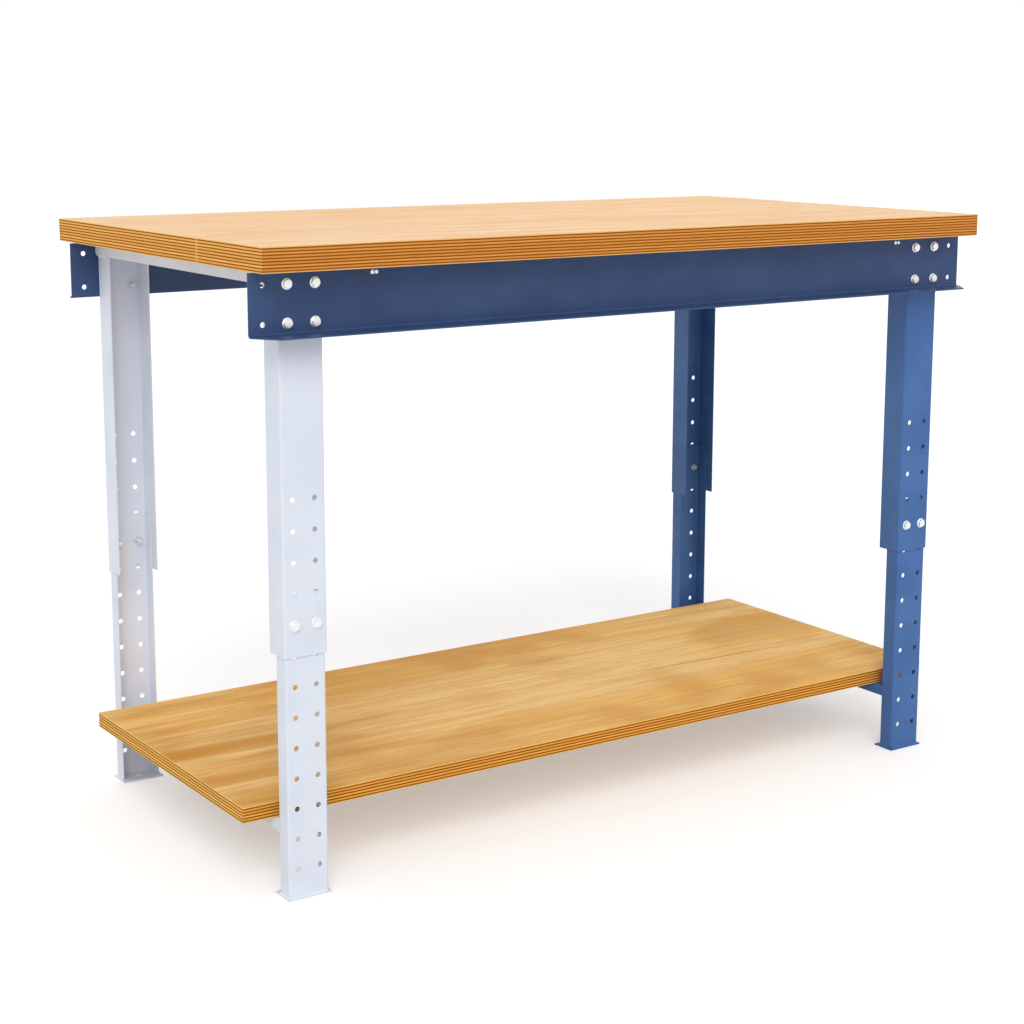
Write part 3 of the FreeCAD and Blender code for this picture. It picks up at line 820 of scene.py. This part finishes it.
def top_rail_mesh():
    bar = rail_bar("top_rail", CAP_LOW, CAP_HIGH)
    half = (CAP_HIGH.x - CAP_LOW.x) / 2
    tongue = half - LEG_SHEET - LEG_BEND
    beyond = 4 * LEG_BEND
    def end_cuts(shape):
        # Beside the tongue, which lies on the beam, the rail stops at the leg's web.
        for end in (FRONT, REAR):
            for side in (LEFT, RIGHT):
                inner, outer = side * tongue, side * (half + beyond)
                y0, y1 = end * OUTER_WEB_Y, end * (CAP_HIGH.y + beyond)
                z0 = CAP_LOW.z - beyond
                corners = [(inner, y0, z0), (outer, y0, z0), (outer, y1, z0), (inner, y1, z0)]
                extruded(shape, corners, (0, 0, CAP_HIGH.z - CAP_LOW.z + 2 * beyond))
    def corner_cuts(shape):
        for end in (FRONT, REAR):
            y = end * (OUTER_WEB_Y + PAST)
            inside = end * (OUTER_WEB_Y - CAP_CORNER)
            z = CAP_LOW.z - PAST
            corners = [(-2 * half, y, z), (-2 * half, inside, z), (-2 * half, y, CAP_LOW.z + CAP_CORNER)]
            extruded(shape, corners, (4 * half, 0, 0))
    ends, corners = loose_object("ends", end_cuts), loose_object("corners", corner_cuts)
    return carved(bar, [ends, corners, screw_holes(TOP_SCREW_SPACING, CAP_HIGH.z)])


def beam_slots():
    """Middles of the front beam's slots. The first two hold a clip."""
    end = BEAM_LENGTH / 2
    return (-end + FAR_SLOT_SETBACK, end - RIGHT_SLOT_SETBACK, -end + NEAR_SLOT_SETBACK)


def stadium(x, y, z, half, radius):
    """Outline of a slot in a plane that faces -Y."""
    out = []
    for side in (RIGHT, LEFT):
        for i in range(HOLE_SIDES // 2 + 1):
            angle = math.pi * i / (HOLE_SIDES // 2) - side * math.pi / 2
            dx = radius * math.cos(angle) + side * (half - radius)
            out.append((x + dx, y, z + radius * math.sin(angle)))
    return out


def beam_mesh():
    reach = OUTER_WEB_Y + BEAM_LOW.y
    path = [(reach, BEAM_LOW.z), (0, BEAM_LOW.z), (0, BEAM_HIGH.z)]
    end = BEAM_LENGTH / 2
    beam = folded_bar("beam", path, BEAM_SHEET, BEAM_BEND, -end, end)
    beam.data.transform(Matrix.Translation((0, -OUTER_WEB_Y, 0)) @ Z_TO_X)
    y = -OUTER_WEB_Y - BEAM_SHEET / 2
    def cuts(shape):
        for side in (LEFT, RIGHT):
            columns = [side * LEG_X - BEAM_BOLT_COLUMNS / 2, side * LEG_X + BEAM_BOLT_COLUMNS / 2]
            for x in columns + [side * (end - END_HOLE_SETBACK)]:
                for z in BEAM_BOLT_ROWS:
                    cylinder(shape, (x, y, z), (0, 1, 0), HOLE_RADIUS, 4 * BEAM_SHEET)
            slope = FLANGE_CUT_LENGTH / (-reach - FLANGE_END_WIDTH)
            tip_y, root_y = BEAM_LOW.y - PAST, -OUTER_WEB_Y - FLANGE_END_WIDTH + PAST / slope
            corners = [
                (side * (end + PAST), root_y, BEAM_LOW.z - PAST),
                (side * (end - FLANGE_CUT_LENGTH - PAST * slope), tip_y, BEAM_LOW.z - PAST),
                (side * (end + PAST), tip_y, BEAM_LOW.z - PAST),
            ]
            extruded(shape, corners, (0, 0, 4 * BEAM_SHEET))
        for x in beam_slots():
            outline = stadium(x, y - 2 * BEAM_SHEET, SLOT_Z, SLOT_HALF, SLOT_RADIUS)
            extruded(shape, outline, (0, 4 * BEAM_SHEET, 0))
    return carved(beam, [loose_object("cuts", cuts)])


def board_mesh(low, high):
    """A board with eased edges."""
    corners = [(low.x, low.y), (high.x, low.y), (high.x, high.y), (low.x, high.y)]
    outline = [(x, y, low.z) for x, y in corners]
    board = loose_object("board", lambda shape: extruded(shape, outline, (0, 0, high.z - low.z)))
    return carved(board, ease=BOARD_EASE)


# ============================================================================================
# Fasteners, made on Z
# ============================================================================================
def hexagon(radius, z):
    angles = [math.pi * i / 3 for i in range(6)]
    return [(radius * math.cos(a), radius * math.sin(a), z) for a in angles]


def hex_block(low, high, chamfer_low):
    """A hexagon whose corners are turned down at its upper end, and at its lower end if asked."""
    outline = hexagon(HEX_RADIUS, low)
    block = loose_object("hexagon", lambda shape: extruded(shape, outline, (0, 0, high - low)))
    wide = HEX_WIDTH
    drop = (wide - HEX_FLAT) * math.tan(HEX_SLOPE)
    profile = [(0, high), (HEX_FLAT, high), (wide, high - drop)]
    if chamfer_low:
        profile += [(wide, low + drop), (HEX_FLAT, low), (0, low)]
    else:
        profile += [(wide, low - PAST), (0, low - PAST)]
    blank = loose_object("blank", lambda shape: lathe(shape, profile, sides=48))
    return combined_mesh(block, blank, "INTERSECT")


def thread_mesh(length):
    """A threaded shank from z = 0 down, with a short lead-in at its tip."""
    rows = round(length / THREAD_PITCH * THREAD_STEPS)
    def build(shape):
        rings = []
        for i in range(rows + 1):
            z = -length * i / rows
            left = length + z
            ring = []
            for j in range(THREAD_SIDES):
                turn = (i / THREAD_STEPS + j / THREAD_SIDES) % 1
                radius = THREAD_RADIUS - THREAD_DEPTH * abs(2 * turn - 1)
                if left < THREAD_TIP:
                    radius = min(radius, TIP_RADIUS + left * TIP_SLOPE)
                angle = 2 * math.pi * j / THREAD_SIDES
                ring.append(shape.verts.new((radius * math.cos(angle), radius * math.sin(angle), z)))
            rings.append(ring)
        tube(shape, rings)
    return loose_mesh("thread", build)


def bolt_mesh():
    """Flanged M8 bolt: seat on z = 0, head above."""
    head = placed("head", hex_block(HEAD_START, HEAD_HEIGHT, False))
    rim = FLANGE_RADIUS
    profile = [
        (0, 0), (rim - FLANGE_SEAT_EASE, 0), (rim, FLANGE_EASE), (rim, FLANGE_RIM - FLANGE_EASE),
        (rim - FLANGE_EASE, FLANGE_RIM), (rim - FLANGE_SLOPE, FLANGE_HEIGHT), (0, FLANGE_HEIGHT),
    ]
    flange = loose_object("flange", lambda shape: lathe(shape, profile, sides=40))
    mesh = combined_mesh(head, flange, "UNION")
    shank = turned(thread_mesh(BOLT_LENGTH), Matrix.Translation((0, 0, SHANK_SUNK)))
    return joined([mesh, shank], "bolt")


def nut_mesh():
    """M8 nut standing on z = 0."""
    nut = placed("nut", hex_block(0, NUT_HEIGHT, True))
    bore = THREAD_RADIUS + NUT_CLEARANCE
    mouth = bore + NUT_LEAD + PAST
    profile = [
        (0, -PAST), (mouth, -PAST), (bore, NUT_LEAD), (bore, NUT_HEIGHT - NUT_LEAD),
        (mouth, NUT_HEIGHT + PAST), (0, NUT_HEIGHT + PAST),
    ]
    tool = loose_object("bore", lambda shape: lathe(shape, profile, sides=32))
    return smooth(combined_mesh(nut, tool, "DIFFERENCE"))


def wood_screw_mesh():
    """Pan head with a six-sided recess, facing -Z. Its seat is on z = 0 and its shank rises from it."""
    radius, height, rim = SCREW_HEAD_RADIUS, SCREW_HEAD_HEIGHT, SCREW_RIM
    profile = [(0, 0), (radius, 0), (radius, -rim)]
    for i in range(1, SCREW_DOME_STEPS):
        angle = math.pi / 2 * i / SCREW_DOME_STEPS
        profile.append((radius * math.cos(angle), -rim - (height - rim) * math.sin(angle)))
    profile.append((0, -height))
    head = loose_object("screw_head", lambda shape: lathe(shape, profile, sides=28))
    recess = hexagon(SCREW_RECESS, -2 * height)
    depth = (0, 0, height + SCREW_RECESS_DEPTH)
    tool = loose_object("recess", lambda shape: extruded(shape, recess, depth))
    mesh = combined_mesh(head, tool, "DIFFERENCE")
    shank = thread_mesh(SCREW_LENGTH)
    shank.transform(Matrix.Diagonal((SCREW_SHARE, SCREW_SHARE, 1, 1)))
    shank.transform(Matrix.Rotation(math.pi, 4, "X") @ Matrix.Translation((0, 0, SHANK_SUNK)))
    return joined([mesh, shank], "wood_screw")


def lug_mesh():
    """A rounded lug of a clip, which shows in its slot. It stands on z = 0."""
    reach = BEAM_SHEET + LUG_PROUD
    shoulder = (LUG_RADIUS - 0.2 * LUG_ROUND, reach - 0.35 * LUG_ROUND)
    profile = [
        (0, reach), (LUG_RADIUS - LUG_ROUND, reach), shoulder,
        (LUG_RADIUS, reach - LUG_ROUND), (LUG_RADIUS, -LUG_SUNK), (0, -LUG_SUNK),
    ]
    return loose_mesh("lug", lambda shape: lathe(shape, profile, sides=24))


def clip_mesh():
    """A worktop clip behind the front beam, at x = 0 with its back on y = 0 and its tab on z = 0."""
    half = CLIP_WIDTH / 2
    path = [(CLIP_REACH, 0), (0, 0), (0, -CLIP_HEIGHT)]
    clip = folded_bar("clip", path, CLIP_SHEET, CLIP_BEND, -half, half)
    clip.data.transform(Z_TO_X)
    def hole(shape):
        middle = (0, (CLIP_SHEET + CLIP_REACH) / 2, -CLIP_SHEET / 2)
        cylinder(shape, middle, (0, 0, 1), SCREW_HOLE_RADIUS, 3 * CLIP_SHEET, sides=24)
    meshes = [carved(clip, [loose_object("hole", hole)])]
    lug = lug_mesh()
    for side in (LEFT, RIGHT):
        place = (side * LUG_SPACING / 2, 0, SLOT_Z - TOP_LOW.z)
        meshes.append(turned(lug, Matrix.Translation(place) @ Matrix.Rotation(math.pi / 2, 4, "X")))
    return joined(meshes, "clip")


# ============================================================================================
# Pieces in their places
# ============================================================================================
def build_boards():
    piece_of("worktop_board", board_mesh(TOP_LOW, TOP_HIGH), "upper_frame", TOP_WOOD, "worktop")
    piece_of("shelf_board", board_mesh(SHELF_LOW, SHELF_HIGH), "lower_frame", SHELF_WOOD, "lower_shelf")


def build_legs():
    outer, inner, plate, bead = outer_leg_mesh(), inner_leg_mesh(), foot_plate_mesh(), foot_weld_mesh()
    for side_name, side in SIDES.items():
        finish = FRAME_PAINT[side]
        for end_name, end in ENDS.items():
            corner = f"{side_name}_{end_name}"
            at_outer = corner_matrix(side, end, OUTER_WEB_Y)
            at_inner = corner_matrix(side, end, INNER_WEB_Y)
            for name, mesh, matrix, body in (
                ("outer_leg", outer, at_outer, "upper_frame"),
                ("inner_leg", inner, at_inner, "lower_frame"),
                ("foot_plate", plate, at_inner, "lower_frame"),
            ):
                node = f"{corner}_{name}"
                piece_of(f"{node}_painted", turned(mesh, matrix), body, finish, node)
            piece_of(f"{corner}_foot_weld", turned(bead, at_inner), "lower_frame", finish)


def build_rails():
    top, bottom = top_rail_mesh(), bottom_rail_mesh()
    rail_weld, cap_weld = rail_weld_mesh(), cap_weld_mesh()
    for name, side in SIDES.items():
        finish = FRAME_PAINT[side]
        move = Matrix.Translation((side * LEG_X, 0, 0))
        for label, mesh, body in (("top_rail", top, "upper_frame"), ("bottom_rail", bottom, "lower_frame")):
            node = f"{name}_{label}"
            piece_of(f"{node}_painted", turned(mesh, move), body, finish, node)
        for label, bead, body in (
            ("rail_weld", rail_weld, "lower_frame"),
            ("cap_weld", cap_weld, "upper_frame"),
        ):
            both = joined([turned(bead, move), turned(bead, move @ HALF_TURN)], label)
            piece_of(f"{name}_{label}", both, body, finish)


def build_beams():
    beam = beam_mesh()
    piece_of("front_beam_painted", turned(beam, Matrix()), "upper_frame", NAVY, "front_beam")
    piece_of("rear_beam_painted", turned(beam, HALF_TURN), "upper_frame", NAVY, "rear_beam")


def build_fasteners(node, meshes, body):
    piece_of(f"{node}_plated", joined(meshes, node), body, ZINC, node)


def on_legs(mesh, columns, rows, depth, outwards, spin):
    """Copies of a bolt or a nut at each hole of the four legs, at a distance in Y from the middle."""
    places = [
        (side * LEG_X + column * columns / 2, end, z)
        for side in (LEFT, RIGHT) for end in (FRONT, REAR) for column in (LEFT, RIGHT) for z in rows
    ]
    copies = []
    for i, (x, end, z) in enumerate(places):
        aim = turn_to((0, end * outwards, 0)) @ Matrix.Rotation(spin * i, 4, "Z")
        copies.append(turned(mesh, Matrix.Translation((x, end * depth, z)) @ aim))
    return copies


def build_bolts():
    bolt, nut = bolt_mesh(), nut_mesh()
    for name, columns, rows, seat, back in (
        ("beam", BEAM_BOLT_COLUMNS, BEAM_BOLT_ROWS, OUTER_WEB_Y + BEAM_SHEET, OUTER_WEB_Y - LEG_SHEET),
        ("height", HOLE_COLUMNS, (BOLTED_ROW,), OUTER_WEB_Y, INNER_WEB_Y - LEG_SHEET),
    ):
        build_fasteners(f"{name}_bolts", on_legs(bolt, columns, rows, seat, 1, BOLT_SPIN), "upper_frame")
        build_fasteners(f"{name}_nuts", on_legs(nut, columns, rows, back, -1, NUT_SPIN), "upper_frame")


def under_rails(spacing, z):
    return [(side * LEG_X, end * spacing / 2, z) for side in (LEFT, RIGHT) for end in (FRONT, REAR)]


def build_screws_and_clips():
    screw, clip = wood_screw_mesh(), clip_mesh()
    clip_x = beam_slots()[:2]
    front = [Matrix.Translation((x, -OUTER_WEB_Y, TOP_LOW.z)) for x in clip_x]
    clips = [turned(clip, m) for m in front] + [turned(clip, HALF_TURN @ m) for m in front]
    build_fasteners("worktop_clips", clips, "upper_frame")
    clip_y = -OUTER_WEB_Y + (CLIP_SHEET + CLIP_REACH) / 2
    clip_z = TOP_LOW.z - CLIP_SHEET
    under_clips = [(x, clip_y, clip_z) for x in clip_x] + [(-x, -clip_y, clip_z) for x in clip_x]
    for node, places, body in (
        ("worktop_screws", under_rails(TOP_SCREW_SPACING, TOP_LOW.z - LEG_SHEET), "upper_frame"),
        ("shelf_screws", under_rails(SHELF_SCREW_SPACING, SHELF_LOW.z - LEG_SHEET), "lower_frame"),
        ("clip_screws", under_clips, "upper_frame"),
    ):
        spins = [Matrix.Rotation(SCREW_SPIN * i, 4, "Z") for i in range(len(places))]
        meshes = [turned(screw, Matrix.Translation(p) @ spin) for p, spin in zip(places, spins)]
        build_fasteners(node, meshes, body)


# ============================================================================================
# Stage, light and camera
# ============================================================================================
FLOOR_SIZE = 30.0
FLOOR_COLOUR = (0.8, 0.8, 0.8, 1)
FLOOR_LIFT = 0.34             # light added for the camera, so that the floor reads as white
WORLD_LIGHT = 0.74
KEY_SIDE = (-0.45, -0.7, 0.7)  # the key light comes from the front left and above
KEY_LEVEL = 0.36              # how bright it makes a white surface that faces it
KEY_SPREAD = math.radians(35)

CAMERA_PLACE = Vector((-2.0596, -3.0013, 1.2668))
CAMERA_YAW = 0.5929           # to the right of +Y
CAMERA_PITCH = 0.1740         # downwards
CAMERA_ROLL = 0.0018
CAMERA_FOCAL = 1970.3         # pixels
CAMERA_CENTRE_Y = 440.0       # pixel row of the optical axis
IMAGE_SIZE = 1024.0
SENSOR = 36.0


def seen_rays(tree):
    """1 for camera, glossy and transmission rays, and 0 for the rays that light the object."""
    path = tree.nodes.new("ShaderNodeLightPath")
    def larger(a, b):
        node = tree.nodes.new("ShaderNodeMath")
        node.operation = "MAXIMUM"
        tree.links.new(a, node.inputs[0])
        tree.links.new(b, node.inputs[1])
        return node.outputs[0]
    seen = larger(path.outputs["Is Camera Ray"], path.outputs["Is Glossy Ray"])
    return larger(seen, path.outputs["Is Transmission Ray"])


def build_floor():
    half = FLOOR_SIZE / 2
    corners = [(-half, -half, 0), (half, -half, 0), (half, half, 0), (-half, half, 0)]
    floor = loose_object("floor", lambda shape: shape.faces.new([shape.verts.new(c) for c in corners]))
    material = bpy.data.materials.new("studio_floor")
    material.use_nodes = True
    tree = material.node_tree
    surface = tree.nodes["Principled BSDF"]
    surface.inputs["Base Color"].default_value = FLOOR_COLOUR
    surface.inputs["Roughness"].default_value = 1.0
    surface.inputs["Specular IOR Level"].default_value = 0.0
    surface.inputs["Emission Color"].default_value = (1, 1, 1, 1)
    lift = tree.nodes.new("ShaderNodeMath")
    lift.operation = "MULTIPLY"
    tree.links.new(seen_rays(tree), lift.inputs[0])
    lift.inputs[1].default_value = FLOOR_LIFT
    tree.links.new(lift.outputs[0], surface.inputs["Emission Strength"])
    floor.data.materials.append(material)


def build_world():
    world = bpy.data.worlds.new("studio")
    bpy.context.scene.world = world
    world.use_nodes = True
    tree = world.node_tree
    back = tree.nodes["Background"]
    back.inputs["Color"].default_value = (1, 1, 1, 1)
    strength = tree.nodes.new("ShaderNodeMapRange")
    tree.links.new(seen_rays(tree), strength.inputs["Value"])
    strength.inputs["To Min"].default_value = WORLD_LIGHT
    strength.inputs["To Max"].default_value = 1.0
    tree.links.new(strength.outputs["Result"], back.inputs["Strength"])


def build_key_light():
    data = bpy.data.lights.new("key", "SUN")
    data.angle = KEY_SPREAD
    data.energy = KEY_LEVEL * math.pi
    lamp = placed("key", data)
    lamp.rotation_euler = Vector(KEY_SIDE).to_track_quat("Z", "Y").to_euler()


def build_camera():
    data = bpy.data.cameras.new("camera")
    camera = placed("camera", data)
    data.sensor_width = SENSOR
    data.lens = CAMERA_FOCAL * SENSOR / IMAGE_SIZE
    data.shift_y = (CAMERA_CENTRE_Y - IMAGE_SIZE / 2) / IMAGE_SIZE
    forward = Vector((
        math.sin(CAMERA_YAW) * math.cos(CAMERA_PITCH),
        math.cos(CAMERA_YAW) * math.cos(CAMERA_PITCH),
        -math.sin(CAMERA_PITCH),
    ))
    level = Vector((math.cos(CAMERA_YAW), -math.sin(CAMERA_YAW), 0))
    above = level.cross(forward)
    right = math.cos(CAMERA_ROLL) * level + math.sin(CAMERA_ROLL) * above
    up = math.cos(CAMERA_ROLL) * above - math.sin(CAMERA_ROLL) * level
    turn = Matrix((right, up, -forward)).transposed().to_4x4()
    camera.matrix_world = Matrix.Translation(CAMERA_PLACE) @ turn
    bpy.context.scene.camera = camera


build_boards()
build_legs()
build_rails()
build_beams()
build_bolts()
build_screws_and_clips()
build_floor()
build_world()
build_key_light()
build_camera()
bpy.context.scene.view_settings.view_transform = "Standard"
